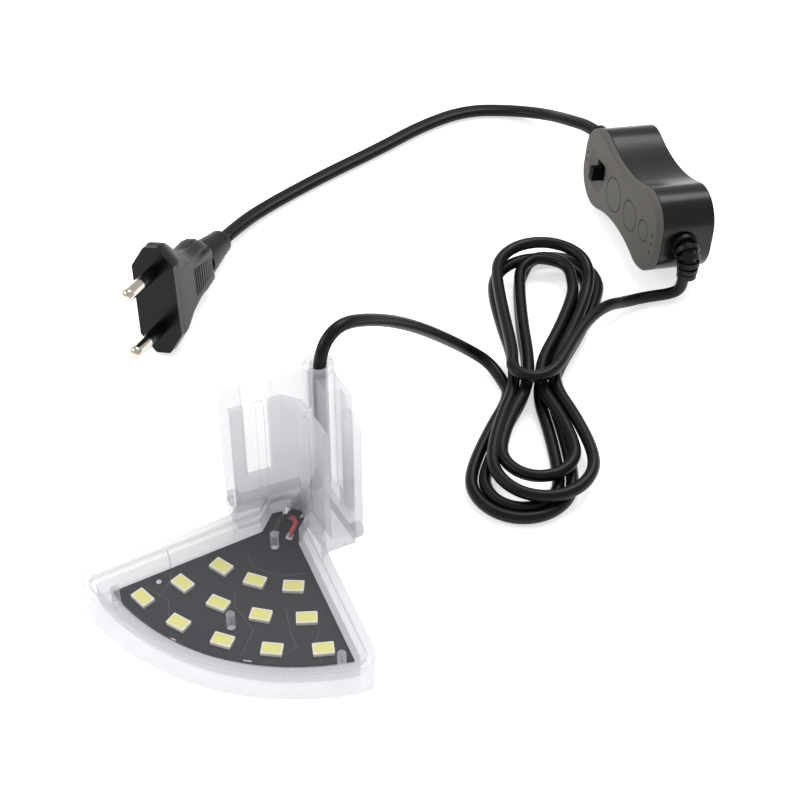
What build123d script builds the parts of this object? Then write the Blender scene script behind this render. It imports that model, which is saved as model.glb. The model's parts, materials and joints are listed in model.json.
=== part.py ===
"""Clip-on LED aquarium light with its in-line driver and mains plug, as one assembly of separate pieces.

The lamp lies on its back with the diodes up, as it is stored on a table: head towards -Y, glass clip towards +Y.
The origin is under the centre of the lamp (head and clip), on the surface that it lies on. Millimetres, +Z up.
"""

from build123d import *
import os
from math import atan2, cos, degrees, hypot, radians, sin, sqrt, tan

# ------------------------------------------------------------------ head, a sector of a disc
HEAD_RADIUS = 70.5  # outer arc, measured from the centre of the diode rows
HEAD_HALF_ANGLE = 41.2  # between the centre-line and each straight side
SIDE_SETBACK = 4.6  # how far the straight sides pass inside the arc's centre, across the lamp
HEAD_CORNER = 5.0
HEAD_HEIGHT = 10.1
TRAY_FLOOR = 2.0
RIM_WIDTH = 2.3
LEDGE_WIDTH = 1.7
NECK_LEDGE = 0.8
COVER_THICKNESS = 1.4
COVER_RECESS = 0.35
COVER_GAP = 0.25
NECK_WIDE = 11.4
NECK_NARROW = 5.6
NECK_START = 7.9
NECK_SHOULDER = 10.6
NECK_REACH = 9.0
SHOULDER_ALONG = 30.0

# ------------------------------------------------------------------ circuit board and diodes
BOARD_THICKNESS = 1.3
BOARD_GAP = 0.4
BOARD_RADIUS = 62.0  # outer arc of the board
PEG_DIAMETER = 2.4
PEG_HOLE_GAP = 0.15
PEG_TOP_GAP = 0.1
PEG_PLACES = [(21.6, 0.0), (51.8, 0.0), (54.2, -32.2), (54.2, 32.2)]  # along, across
ROW_RADII = [35.6, 46.6, 57.4]
ROW_STEPS = [17.2, 15.1, 13.4]
ROW_COUNTS = [3, 4, 5]
LED_LENGTH = 5.7
LED_WIDTH = 3.9
LED_HEIGHT = 1.0
LED_WALL = 0.45
PHOSPHOR_DEPTH = 0.45
PAD_SIZE = (2.0, 2.6, 0.15)
WIRE_DIAMETER = 1.2
WIRE_GAP = 0.35

# ------------------------------------------------------------------ glass clip
CLIP_HEIGHT = 45.0
JAW_WALL = 1.9
SLOT_WIDTH = 7.0
FINGER_WALL = 2.6
JAW_FLAT = 6.0
JAW_FLAT_PLACE = 5.2  # of the flat's slot side, from the arc's centre
WING_ANGLE = 41.5  # between each wing and the line across the lamp
WING_LENGTH = 15.2
FINGER_START = 8.8
FINGER_END = 15.6
BLOCK_END = 1.3
CLIP_BASE = 4.5
FINGER_ROOT = 9.0
RIB_DEPTH = 0.6
RIB_WIDTH = 2.2
RIB_PLACE = 6.8
RIB_RISE = 0.5
LATCH_PLACE = 13.0
LATCH_SIZE = (3.0, 2.4)
LATCH_BARB = 0.7
LATCH_GAP = 0.1
TUBE_CLEARANCE = 2.6
FIN_THICKNESS = 1.6
FIN_OFFSET = 11.0  # of the fin beside the tube, behind the front wall's slot side
FIN_END = 4.6
FINGER_CHAMFER = 1.6
CORD_TUBE_DIAMETER = 8.6
CORD_TUBE_BORE = 5.0
CORD_TUBE_PLACE = (2.6, 8.0)  # across, behind the arc's centre
TUBE_RISE = 1.4
TUBE_SLIT = (0.5, 14.0)
CORD_CHANNEL = 4.2
ENTRY_RADIUS = 2.7
JACKET_END = 8.6  # where the cord jacket ends, from the arc's centre
CORD_BEND_ROOM = 10.5
CORD_JOIN = 37.0  # height in the tube where the free cord begins
CORD_FLOOR_GAP = 0.2

# ------------------------------------------------------------------ cords
LAMP_CORD = 3.7
MAINS_CORD = 5.0  # width of the flat cord
CORD_OVERLAP = 0.5  # how far a cord's end is pushed into its strain relief
LAMP_ROUTE_TO_HANK = [  # after the top of the clip's tube
    (3.4, 40.9, 52.2),
    (6.0, 46.3, 54.2),
    (9.6, 54.4, 50.0),
    (13.8, 65.0, 42.0),
    (18.0, 76.5, 31.0),
    (22.0, 87.5, 19.0),
    (26.3, 96.6, 8.2),
    (32.5, 99.3, 3.6),
    (40.5, 95.5, 7.2),
]
LAMP_ROUTE_TO_DRIVER = [  # up to where it turns up to the strain relief
    (49.6, 115.0, 6.5),
    (54.0, 127.5, 4.6),
    (59.5, 137.6, 2.4),
    (66.3, 144.4, 1.95),
    (79.2, 150.2, 3.4),
]
LAMP_EXIT_BEND = 5.2
MAINS_ROUTE = [  # between the two strain reliefs
    (31.5, 215.0, 11.6),
    (22.6, 220.0, 9.2),
    (12.5, 226.8, 5.4),
    (-1.5, 229.4, 2.6),
    (-16.0, 223.6, 2.55),
    (-27.4, 209.5, 2.55),
    (-37.2, 191.0, 2.55),
    (-49.0, 171.5, 2.55),
    (-60.2, 150.4, 2.55),
    (-65.0, 136.6, 2.7),
]
HANK_LOBES = [[(39.0, 138.0, 16.5)], [(54.0, 57.0, 15.0), (61.0, 57.5, 13.5)]]  # x, y, radius
HANK_WAIST = (47.5, 95.0, 7.0)
HANK_HEIGHT = 9.0
HANK_WAIST_HEIGHT = 12.5

# ------------------------------------------------------------------ in-line driver, a waisted box on its side
DRIVER_LENGTH = 59.3
DRIVER_HEIGHT = 27.2
DRIVER_WAIST = 20.4
DRIVER_DEPTH = 19.5
DRIVER_WALL = 1.6
DRIVER_LID = 2.2
DRIVER_LID_GAP = 0.15
DRIVER_LOBE = 10.7  # corner radius of the outline
DRIVER_EDGE = 0.6
DRIVER_PLACE = (52.4, 171.9)  # centre of the switch face
DRIVER_TURN = 36.8  # direction that the depth runs in, from +X
DRIVER_PITCH = 5.5  # the end with the lamp's cord is propped up by its strain relief
DRIVER_ROLL = 6.2  # the case leans back
KNOB_SIZE = (2.6, 4.8)
KNOB_TRAVEL = 1.4  # each way from the middle of the dish
KNOB_RISE = 3.0
KNOB_GAP = 0.25
DISH_PLACE = -18.1  # along the face, from its middle
SKIRT_SIZE = (10.0, 7.4, 0.8)
SKIRT_GAP = 0.25
STEM_SIZE = (2.6, 2.6)
STEM_REACH = 2.4
SWITCH_SIZE = (11.0, 7.0)
DISH_RADIUS = 7.4
DISH_DEPTH = 1.5
RING_PLACES = [(-3.8, -0.85, 5.8), (9.5, -0.8, 5.1), (20.0, 0.0, 3.5)]  # along, up, radius
RING_GROOVE = 0.3
VENT_DIAMETER = 1.0
VENT_PLACES = [(26.8, 2.2), (26.7, -0.9), (26.5, -4.0), (-27.3, 1.9), (-27.3, -0.9)]
SCREW_PLACES = [(19.0, 8.0), (-19.0, -8.0)]  # along the case, up from its middle
SCREW_HEAD = 4.4
SCREW_HEAD_DEPTH = 1.8
SCREW_SHANK = 2.2
SCREW_GAP = 0.15
SCREW_LENGTH = 12.5
BOSS_DIAMETER = 6.4
POST_DIAMETER = 5.0
DRIVER_BOARD_DEPTH = 9.2  # front of the board, behind the switch face
DRIVER_BOARD = 1.6
DRIVER_BOARD_GAP = 0.5
SEAT_GAP = 0.05
TRANSFORMER_SIZE = (13.0, 12.0, 6.3)
TRANSFORMER_PLACE = (2.0, 0.0)
CAPACITOR_DIAMETER = 5.0
CAPACITOR_LENGTH = 9.0
CAPACITOR_PLACE = (5.0, 0.0)
COLLAR_DIAMETER = 6.0
COLLAR_REACH = 1.9
LAMP_RELIEF_BEND = 5.0  # radius that the lamp cord's strain relief droops with
LAMP_RELIEF_TAIL = 4.0  # its straight end
LAMP_RELIEF_DROOP = (-0.1, 0.0, -1.0)  # direction of the straight end
LAMP_RELIEF_RADII = [4.3, 4.1, 3.8, 3.5, 3.3, 3.1]
LAMP_RELIEF_CORE = 2.5
MAINS_RELIEF_RADII = [4.1, 3.9, 3.7, 3.5]
RIB_LENGTH = 1.5
RIB_GROOVE = 0.8
RIB_GROOVE_DEPTH = 0.6

# ------------------------------------------------------------------ two-pin plug
PLUG_PLACE = (-66.0, 75.8, 17.5)  # middle of the face that the pins stand on
PLUG_YAW = -89.0
PLUG_TILT = 15.7
PLUG_LEAN = 9.3
PLUG_WIDTH = 34.4
PLUG_THICKNESS = 13.7
PLUG_BODY = 31.0
BRIDGE_THICKNESS = 2.4
PLUG_POINT = 2.3  # half thickness at the two ends of the face
PLUG_SLOPE = 6.0  # length of the sloping ends of the face
PLUG_SECTIONS = [(2.45, 34.4, 13.7), (5.5, 33.8, 13.6), (12.0, 24.0, 13.0), (19.0, 18.2, 12.4), (31.0, 15.0, 11.0)]
PLUG_RELIEF_RADII = [6.0, 5.6, 5.2, 4.8, 4.4, 4.1]
PLUG_RIB = 2.3
PIN_ROOT = 8.0
PIN_PITCH = 18.4
PIN_DIAMETER = 4.0
PIN_LENGTH = 19.0
PIN_SLEEVE = 10.0
SLEEVE_DIAMETER = 4.0
PIN_CORE = 3.0
PIN_FIT = 0.02

os.makedirs("parts", exist_ok=True)


def save(builder, name):
    """Labels a finished piece and writes it."""
    builder.part.label = name
    export_step(builder.part, f"parts/{name}.step")


# ------------------------------------------------------------------ places that follow from the sizes above
tube_across, tube_behind = CORD_TUBE_PLACE
lamp_rear = tube_behind + CORD_TUBE_DIAMETER / 2
arc_y = (HEAD_RADIUS - lamp_rear) / 2  # puts the origin under the middle of the lamp
board_top = TRAY_FLOOR + BOARD_THICKNESS
cover_top = HEAD_HEIGHT - COVER_RECESS
cover_bottom = cover_top - COVER_THICKNESS
finger_offset = SLOT_WIDTH + FINGER_WALL


def at(along, across):
    """A point of the lamp's plan: along is the distance from the arc's centre towards the arc."""
    return (across, arc_y - along)


def on_wing(run, offset, side):
    """A point of the plan beside a wing: run along it from the flat, offset behind its slot side."""
    w = radians(WING_ANGLE)
    along = JAW_FLAT_PLACE + run * sin(w) - offset * cos(w)
    across = JAW_FLAT / 2 + run * cos(w) + offset * sin(w)
    return at(along, side * across)


def wall_corner(offset, side):
    """Where the flat meets a wing, at this offset behind their slot side."""
    return on_wing(-offset * tan(radians(WING_ANGLE) / 2), offset, side)


def wing_apex(offset):
    """Where the two lines at this offset behind the wings meet, on the centre-line."""
    w = radians(WING_ANGLE)
    run = -(JAW_FLAT / 2 + offset * sin(w)) / cos(w)
    return on_wing(run, offset, 1)


def sector_points(inset):
    """Corners of the head's outline, moved in by inset: narrow end, far corners, and the arc's middle."""
    slope = tan(radians(HEAD_HALF_ANGLE))
    setback = SIDE_SETBACK + inset / cos(radians(HEAD_HALF_ANGLE))
    radius = HEAD_RADIUS - inset
    a, b, c = 1 + slope**2, -2 * slope * setback, setback**2 - radius**2
    corner = (-b + sqrt(b * b - 4 * a * c)) / (2 * a)
    return setback / slope, (corner, slope * corner - setback), radius


def head_outline(inset):
    """The sector with round corners, moved in by inset, as a flat sketch."""
    start, (corner, half), radius = sector_points(inset)
    with BuildSketch() as outline:
        with BuildLine():
            Polyline(at(corner, -half), at(start, 0), at(corner, half))
            ThreePointArc(at(corner, half), at(radius, 0), at(corner, -half))
        make_face()
        far = outline.vertices().sort_by(Axis.X)
        fillet([far[0], far[-1]], max(HEAD_CORNER - inset, 1.0))
    return outline.sketch


def neck_outline(inset):
    """The neck between the sector's narrow end and the clip, moved in by inset, as a flat sketch."""
    wide, narrow = NECK_WIDE / 2 - inset, NECK_NARROW / 2 - inset
    end, shoulder, far = NECK_START + inset, NECK_SHOULDER, NECK_SHOULDER + NECK_REACH
    with BuildSketch() as outline:
        with BuildLine():
            Polyline(
                at(end, narrow),
                at(shoulder, wide),
                at(far, wide),
                at(far, -wide),
                at(shoulder, -wide),
                at(end, -narrow),
                close=True,
            )
        make_face()
    return outline.sketch


def clip_side(run_from, run_to, offset_from, offset_to, side):
    """A strip of the clip's plan beside one wing, as a flat sketch."""
    with BuildSketch() as strip:
        with BuildLine():
            Polyline(
                on_wing(run_from, offset_from, side),
                on_wing(run_to, offset_from, side),
                on_wing(run_to, offset_to, side),
                on_wing(run_from, offset_to, side),
                close=True,
            )
        make_face()
    return strip.sketch


def front_wall(thickness):
    """The clip's front wall with its flat and two wings, and this much of it in front, as a flat sketch."""
    with BuildSketch() as wall:
        with BuildLine():
            Polyline(
                on_wing(WING_LENGTH, 0, -1),
                wall_corner(0, -1),
                wall_corner(0, 1),
                on_wing(WING_LENGTH, 0, 1),
                on_wing(WING_LENGTH, -thickness, 1),
                wall_corner(-thickness, 1),
                wall_corner(-thickness, -1),
                on_wing(WING_LENGTH, -thickness, -1),
                close=True,
            )
        make_face()
    return wall.sketch


def cord_slot():
    """The path of the lamp's cord under the clip, from the tube to the head, as a flat sketch."""
    tube, end = Vector(*at(-tube_behind, tube_across)), Vector(*at(JACKET_END, 0))
    with BuildSketch() as path:
        SlotCenterPoint(center=(tube + end) * 0.5, point=end, height=CORD_CHANNEL)
    return path.sketch


# ------------------------------------------------------------------ head: tray, cover, board
with BuildSketch() as tray_shoulder:  # fills the space between the sector's narrow end and the wings
    with BuildLine():
        Polyline(
            wall_corner(-JAW_WALL, -1),
            on_wing(WING_LENGTH, -JAW_WALL, -1),
            at(SHOULDER_ALONG, -tan(radians(HEAD_HALF_ANGLE)) * SHOULDER_ALONG / 2),
            at(SHOULDER_ALONG, tan(radians(HEAD_HALF_ANGLE)) * SHOULDER_ALONG / 2),
            on_wing(WING_LENGTH, -JAW_WALL, 1),
            wall_corner(-JAW_WALL, 1),
            close=True,
        )
    make_face()

with BuildPart() as head_tray:
    with BuildSketch():
        add(head_outline(0))
        add(tray_shoulder.sketch)
        add(front_wall(JAW_WALL), mode=Mode.SUBTRACT)
    extrude(amount=HEAD_HEIGHT)
    with BuildSketch(Plane.XY.offset(TRAY_FLOOR)):
        add(head_outline(RIM_WIDTH + LEDGE_WIDTH))
        add(neck_outline(0))
    extrude(amount=HEAD_HEIGHT, mode=Mode.SUBTRACT)
    with BuildSketch(Plane.XY.offset(cover_bottom)):
        add(head_outline(RIM_WIDTH))
        add(neck_outline(-NECK_LEDGE))
    extrude(amount=HEAD_HEIGHT, mode=Mode.SUBTRACT)
    with BuildSketch(Plane.XY.offset(TRAY_FLOOR)):
        with Locations([at(along, across) for along, across in PEG_PLACES]):
            Circle(PEG_DIAMETER / 2)
    extrude(amount=cover_bottom - PEG_TOP_GAP - TRAY_FLOOR)
    with BuildSketch():
        with Locations(at(NECK_START, 0)):
            Circle(ENTRY_RADIUS)
    extrude(amount=CORD_CHANNEL, mode=Mode.SUBTRACT)
save(head_tray, "head_tray")

with BuildPart() as head_cover:
    with BuildSketch(Plane.XY.offset(cover_bottom)):
        add(head_outline(RIM_WIDTH + COVER_GAP))
        add(neck_outline(-NECK_LEDGE + COVER_GAP))
        add(front_wall(JAW_WALL + COVER_GAP), mode=Mode.SUBTRACT)
    extrude(amount=COVER_THICKNESS)
save(head_cover, "head_cover")

with BuildPart() as led_board:
    with BuildSketch(Plane.XY.offset(TRAY_FLOOR)):
        add(head_outline(RIM_WIDTH + LEDGE_WIDTH + BOARD_GAP))
        add(neck_outline(BOARD_GAP))
        with Locations(at(0, 0)):
            Circle(BOARD_RADIUS, mode=Mode.INTERSECT)
        add(front_wall(JAW_WALL + BOARD_GAP), mode=Mode.SUBTRACT)
        with Locations(at(NECK_START, 0)):
            Circle(ENTRY_RADIUS + BOARD_GAP, mode=Mode.SUBTRACT)
        with Locations([at(along, across) for along, across in PEG_PLACES]):
            Circle(PEG_DIAMETER / 2 + PEG_HOLE_GAP, mode=Mode.SUBTRACT)
    extrude(amount=BOARD_THICKNESS)
save(led_board, "led_board")

led_places = []  # angle from the centre-line and radius of each diode
for radius, step, count in zip(ROW_RADII, ROW_STEPS, ROW_COUNTS):
    led_places += [((i - (count - 1) / 2) * step, radius) for i in range(count)]


def led_plane(angle, radius, height):
    """A plane at a diode: its X runs along the row, its Z up."""
    x, y = at(radius * cos(radians(angle)), radius * sin(radians(angle)))
    return Plane(origin=(x, y, height), x_dir=(cos(radians(angle)), sin(radians(angle)), 0))


for number, (angle, radius) in enumerate(led_places, 1):
    with BuildPart() as led_package:
        with BuildSketch(led_plane(angle, radius, board_top)):
            RectangleRounded(LED_LENGTH, LED_WIDTH, 0.3)
        extrude(amount=LED_HEIGHT)
        with BuildSketch(led_plane(angle, radius, board_top + LED_HEIGHT - PHOSPHOR_DEPTH)):
            RectangleRounded(LED_LENGTH - 2 * LED_WALL, LED_WIDTH - 2 * LED_WALL, 0.5)
        extrude(amount=PHOSPHOR_DEPTH, mode=Mode.SUBTRACT)
    save(led_package, f"led_package_{number:02d}")

with BuildPart() as led_phosphors:
    for angle, radius in led_places:
        with BuildSketch(led_plane(angle, radius, board_top + LED_HEIGHT - PHOSPHOR_DEPTH)):
            RectangleRounded(LED_LENGTH - 2 * LED_WALL - 0.04, LED_WIDTH - 2 * LED_WALL - 0.04, 0.48)
        extrude(amount=PHOSPHOR_DEPTH - 0.05)
save(led_phosphors, "led_phosphors")

PAD_PLACES = [(17.6, -1.6), (17.0, 2.6)]  # along, across
with BuildPart() as solder_pads:
    with BuildSketch(Plane.XY.offset(board_top)):
        with Locations([at(along, across) for along, across in PAD_PLACES]):
            RectangleRounded(PAD_SIZE[0], PAD_SIZE[1], 0.6)
    extrude(amount=PAD_SIZE[2])
save(solder_pads, "solder_pads")

WIRE_BENDS = [  # across, along, height
    [(-0.7, 9.5, 2.3), (-0.9, 11.2, 4.6), (-1.9, 13.6, 5.0)],
    [(0.7, 9.5, 2.3), (1.0, 11.2, 4.6), (3.1, 13.4, 5.4)],
]
WIRE_START = 2.3  # height of the conductors in the end of the jacket
for name, (pad_along, pad_across), bends, sign in zip(
    ("black_wire", "red_wire"), PAD_PLACES, WIRE_BENDS, (-1, 1)
):
    start = (*at(JACKET_END + WIRE_GAP, sign * 0.7), WIRE_START)
    knees = [(*at(along, across), height) for across, along, height in bends]
    end = (*at(pad_along - 0.4, pad_across), board_top + PAD_SIZE[2] + WIRE_DIAMETER / 2 + 0.01)
    with BuildPart() as wire:
        with BuildLine() as wire_line:
            FilletPolyline(start, *knees, end, radius=0.7)
        with BuildSketch(Plane(origin=wire_line.wire() @ 0, z_dir=wire_line.wire() % 0)):
            Circle(WIRE_DIAMETER / 2)
        sweep()
    save(wire, name)

# ------------------------------------------------------------------ glass clip and the cord inside it
with BuildPart() as front_jaw:
    with BuildSketch():
        add(front_wall(JAW_WALL))
    extrude(amount=CLIP_HEIGHT)
    with BuildSketch():
        with BuildLine():
            Polyline(
                wall_corner(0, -1),
                on_wing(WING_LENGTH, 0, -1),
                on_wing(FINGER_END, SLOT_WIDTH, -1),
                wing_apex(SLOT_WIDTH),
                on_wing(FINGER_END, SLOT_WIDTH, 1),
                on_wing(WING_LENGTH, 0, 1),
                wall_corner(0, 1),
                close=True,
            )
        make_face()
    extrude(amount=CLIP_BASE)
    for side in (-1, 1):
        rib_run = RIB_PLACE - RIB_WIDTH / 2, RIB_PLACE + RIB_WIDTH / 2
        with BuildSketch(Plane.XY.offset(HEAD_HEIGHT)):
            add(clip_side(*rib_run, -JAW_WALL - RIB_DEPTH, -JAW_WALL, side))
        extrude(amount=CLIP_HEIGHT - HEAD_HEIGHT)
        with BuildSketch(Plane.XY.offset(CLIP_HEIGHT)):
            add(clip_side(*rib_run, -JAW_WALL, -JAW_WALL / 4, side))
        extrude(amount=RIB_RISE)
        tongue_run = LATCH_PLACE - LATCH_SIZE[0] / 2, LATCH_PLACE + LATCH_SIZE[0] / 2
        with BuildSketch(Plane.XY.offset((CLIP_BASE - LATCH_SIZE[1]) / 2)):
            add(clip_side(*tongue_run, SLOT_WIDTH, finger_offset + LATCH_BARB, side))
        extrude(amount=LATCH_SIZE[1])
    with BuildSketch():
        add(cord_slot())
    extrude(amount=CORD_CHANNEL, mode=Mode.SUBTRACT)
    with BuildSketch():
        with Locations(at(-tube_behind, tube_across)):
            Circle(CORD_TUBE_DIAMETER / 2 + TUBE_CLEARANCE)
    extrude(amount=CLIP_BASE, mode=Mode.SUBTRACT)
save(front_jaw, "front_jaw")

with BuildPart() as rear_jaw:
    apex_run = -(JAW_FLAT / 2 + SLOT_WIDTH * sin(radians(WING_ANGLE))) / cos(radians(WING_ANGLE))
    for side in (-1, 1):
        for run_from, run_to, height in (
            (apex_run, FINGER_END, FINGER_ROOT),
            (apex_run, BLOCK_END, CLIP_HEIGHT),
            (FINGER_START, FINGER_END, CLIP_HEIGHT),
        ):
            with BuildSketch():
                add(clip_side(run_from, run_to, SLOT_WIDTH + SEAT_GAP, finger_offset, side))
            extrude(amount=height)
    for end_face in (rear_jaw.faces().sort_by(Axis.X)[0], rear_jaw.faces().sort_by(Axis.X)[-1]):
        ends = end_face.edges().filter_by(Axis.Z, reverse=True)
        chamfer(ends, FINGER_CHAMFER)
    for side in (-1, 1):
        window_run = LATCH_PLACE - LATCH_SIZE[0] / 2 - LATCH_GAP, LATCH_PLACE + LATCH_SIZE[0] / 2 + LATCH_GAP
        with BuildSketch(Plane.XY.offset((CLIP_BASE - LATCH_SIZE[1]) / 2 - LATCH_GAP)):
            add(clip_side(*window_run, SLOT_WIDTH, finger_offset, side))
        extrude(amount=LATCH_SIZE[1] + 2 * LATCH_GAP, mode=Mode.SUBTRACT)
    with BuildSketch():
        with Locations(at(-tube_behind, tube_across)):
            Circle(CORD_TUBE_DIAMETER / 2)
    extrude(amount=CLIP_HEIGHT + TUBE_RISE)
    with BuildSketch():
        add(clip_side(apex_run, FIN_END, FIN_OFFSET, FIN_OFFSET + FIN_THICKNESS, 1))
        add(clip_side(apex_run, BLOCK_END, finger_offset, FIN_OFFSET, 1))
    extrude(amount=CLIP_HEIGHT)
    with BuildSketch():
        with Locations(at(-tube_behind, tube_across)):
            Circle(CORD_TUBE_BORE / 2)
    extrude(amount=CLIP_HEIGHT + TUBE_RISE, mode=Mode.SUBTRACT)
    with BuildSketch():
        add(cord_slot())
    extrude(amount=CORD_BEND_ROOM, mode=Mode.SUBTRACT)
    with BuildSketch(Plane.XY.offset(CLIP_HEIGHT + TUBE_RISE)):
        with Locations(at(-tube_behind + CORD_TUBE_DIAMETER / 2, tube_across - 1.6)):
            Rectangle(TUBE_SLIT[0], CORD_TUBE_DIAMETER - CORD_TUBE_BORE)
    extrude(amount=-TUBE_SLIT[1], mode=Mode.SUBTRACT)
save(rear_jaw, "rear_jaw")


def round_tube(points, radii, diameter):
    """A round tube along straight runs joined by tangent arcs, swept run by run from its start."""
    with BuildPart() as tube:
        with BuildLine() as line:
            FilletPolyline(*points, radius=radii)
        with BuildSketch(Plane(origin=line.wire() @ 0, z_dir=line.wire() % 0)):
            Circle(diameter / 2)
        sweep()
    expected = line.wire().length * 3.14159 * diameter**2 / 4
    print(f"tube {line.wire().length:.1f} mm long, volume {tube.part.volume / expected:.4f} of section x length")
    return tube


def bend_radii(points, share=0.45):
    """The arc at each corner: share of the shorter run beside it, over the tangent of half the turn."""
    radii = []
    for before, here, after in zip(points, points[1:], points[2:]):
        run_in = Vector(here) - Vector(before)
        run_out = Vector(after) - Vector(here)
        half_turn = radians(run_in.get_angle(run_out)) / 2
        radii.append(share * min(run_in.length, run_out.length) / tan(half_turn))
    print("bend radii", [round(r, 1) for r in radii])
    return radii


cord_axis = LAMP_CORD / 2 + CORD_FLOOR_GAP
inner_route = [
    (*at(-tube_behind, tube_across), CORD_JOIN),
    (*at(-tube_behind, tube_across), cord_axis),
    (*at(JACKET_END, 0), cord_axis),
]
inner_cord = round_tube(inner_route, bend_radii(inner_route), LAMP_CORD)
save(inner_cord, "inner_cord")

# ------------------------------------------------------------------ driver
turn, pitch, roll = (radians(value) for value in (DRIVER_TURN, DRIVER_PITCH, DRIVER_ROLL))
driver_long_dir = Vector(sin(turn) * cos(pitch), -cos(turn) * cos(pitch), sin(pitch))
driver_lean = Vector(-sin(turn) * sin(pitch), cos(turn) * sin(pitch), cos(pitch))
driver_depth_dir = Vector(cos(turn), sin(turn), 0) * cos(roll) - driver_lean * sin(roll)
driver_up = driver_lean * cos(roll) + Vector(cos(turn), sin(turn), 0) * sin(roll)
lobe_reach = DRIVER_LOBE * hypot(driver_long_dir.Z, driver_up.Z)
face_height = (
    (DRIVER_LENGTH / 2 - DRIVER_LOBE) * driver_long_dir.Z
    + (DRIVER_HEIGHT / 2 - DRIVER_LOBE) * driver_up.Z
    + lobe_reach
    - DRIVER_DEPTH * driver_depth_dir.Z
)  # the case rests on its far lower corner
driver_face = Vector(*DRIVER_PLACE, face_height)
case_front = DRIVER_LID + DRIVER_LID_GAP
board_back = DRIVER_BOARD_DEPTH + DRIVER_BOARD


def driver_plane(depth):
    """A plane this far behind the switch face: its X runs along the case, its Y up."""
    return Plane(
        origin=driver_face + driver_depth_dir * depth, x_dir=driver_long_dir, z_dir=driver_depth_dir * -1
    )


def driver_outline(inset):
    """The waisted outline of the case, moved in by inset, as a flat sketch on the driver's own plane."""
    lobe = DRIVER_LOBE - inset
    x, y = DRIVER_LENGTH / 2 - DRIVER_LOBE, DRIVER_HEIGHT / 2 - DRIVER_LOBE
    waist = DRIVER_WAIST / 2 - inset
    rise = waist - y
    waist_radius = (x**2 + rise**2 - lobe**2) / (2 * (lobe - rise))
    tangent = degrees(atan2(y - waist - waist_radius, x))
    with BuildSketch() as outline:
        with BuildLine():
            CenterArc((0, waist + waist_radius), waist_radius, -90, tangent + 90)
            CenterArc((x, y), lobe, 0, tangent + 180)
            Line((x + lobe, y), (x + lobe, 0))
            mirror(about=Plane.XZ)
            mirror(about=Plane.YZ)
        make_face()
    return outline.sketch


def end_plane(end):
    """A plane on the outside of an end wall, facing out: end is 1 at the lamp's cord and -1 at the mains."""
    middle = driver_face + driver_depth_dir * (DRIVER_DEPTH / 2)
    return Plane(origin=middle + driver_long_dir * (end * DRIVER_LENGTH / 2), z_dir=driver_long_dir * end)


with BuildPart() as driver_cover:
    with BuildSketch(driver_plane(0)):
        add(driver_outline(0))
    extrude(amount=-DRIVER_LID)
    outer_face = driver_cover.faces().sort_by(Axis(tuple(driver_face), tuple(driver_depth_dir)))[0]
    chamfer(outer_face.edges(), DRIVER_EDGE)
    dish_sphere = (DISH_RADIUS**2 + DISH_DEPTH**2) / (2 * DISH_DEPTH)
    with Locations(driver_plane(DISH_DEPTH - dish_sphere).from_local_coords(Vector(DISH_PLACE, 0, 0))):
        Sphere(dish_sphere, mode=Mode.SUBTRACT)
    with BuildSketch(driver_plane(0)):
        for x, y, radius in RING_PLACES:
            with Locations((x, y)):
                Circle(radius)
                Circle(radius - RING_GROOVE, mode=Mode.SUBTRACT)
    extrude(amount=-RING_GROOVE, mode=Mode.SUBTRACT)
    with BuildSketch(driver_plane(0)):
        with Locations((DISH_PLACE, 0)):
            Rectangle(KNOB_SIZE[0] + 2 * (KNOB_TRAVEL + KNOB_GAP), KNOB_SIZE[1] + 2 * KNOB_GAP)
        with Locations(VENT_PLACES):
            Circle(VENT_DIAMETER / 2)
    extrude(amount=-DRIVER_LID, mode=Mode.SUBTRACT)
    with BuildSketch(driver_plane(DRIVER_LID)):
        with Locations(SCREW_PLACES):
            Circle(POST_DIAMETER / 2)
            Circle(SCREW_SHANK / 2 + SEAT_GAP, mode=Mode.SUBTRACT)
    extrude(amount=-(DRIVER_BOARD_DEPTH - SEAT_GAP - DRIVER_LID))
save(driver_cover, "driver_cover")

with BuildPart() as driver_case:
    with BuildSketch(driver_plane(case_front)):
        add(driver_outline(0))
    extrude(amount=-(DRIVER_DEPTH - case_front))
    with BuildSketch(driver_plane(case_front)):
        add(driver_outline(DRIVER_WALL))
    extrude(amount=-(DRIVER_DEPTH - DRIVER_WALL - case_front), mode=Mode.SUBTRACT)
    with BuildSketch(driver_plane(board_back + SEAT_GAP)):
        with Locations(SCREW_PLACES):
            Circle(BOSS_DIAMETER / 2)
    extrude(amount=-(DRIVER_DEPTH - board_back - SEAT_GAP))
    with BuildSketch(driver_plane(DRIVER_DEPTH)):
        with Locations(SCREW_PLACES):
            Circle(SCREW_SHANK / 2 + SCREW_GAP)
    extrude(amount=DRIVER_DEPTH - board_back, mode=Mode.SUBTRACT)
    with BuildSketch(driver_plane(DRIVER_DEPTH)):
        with Locations(SCREW_PLACES):
            Circle(SCREW_HEAD / 2 + SCREW_GAP)
    extrude(amount=SCREW_HEAD_DEPTH + SCREW_GAP, mode=Mode.SUBTRACT)
    for end in (1, -1):
        with BuildSketch(end_plane(end)):
            Circle(COLLAR_DIAMETER / 2 + SEAT_GAP)
        extrude(amount=-2 * DRIVER_WALL, mode=Mode.SUBTRACT)
save(driver_case, "driver_case")

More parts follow.
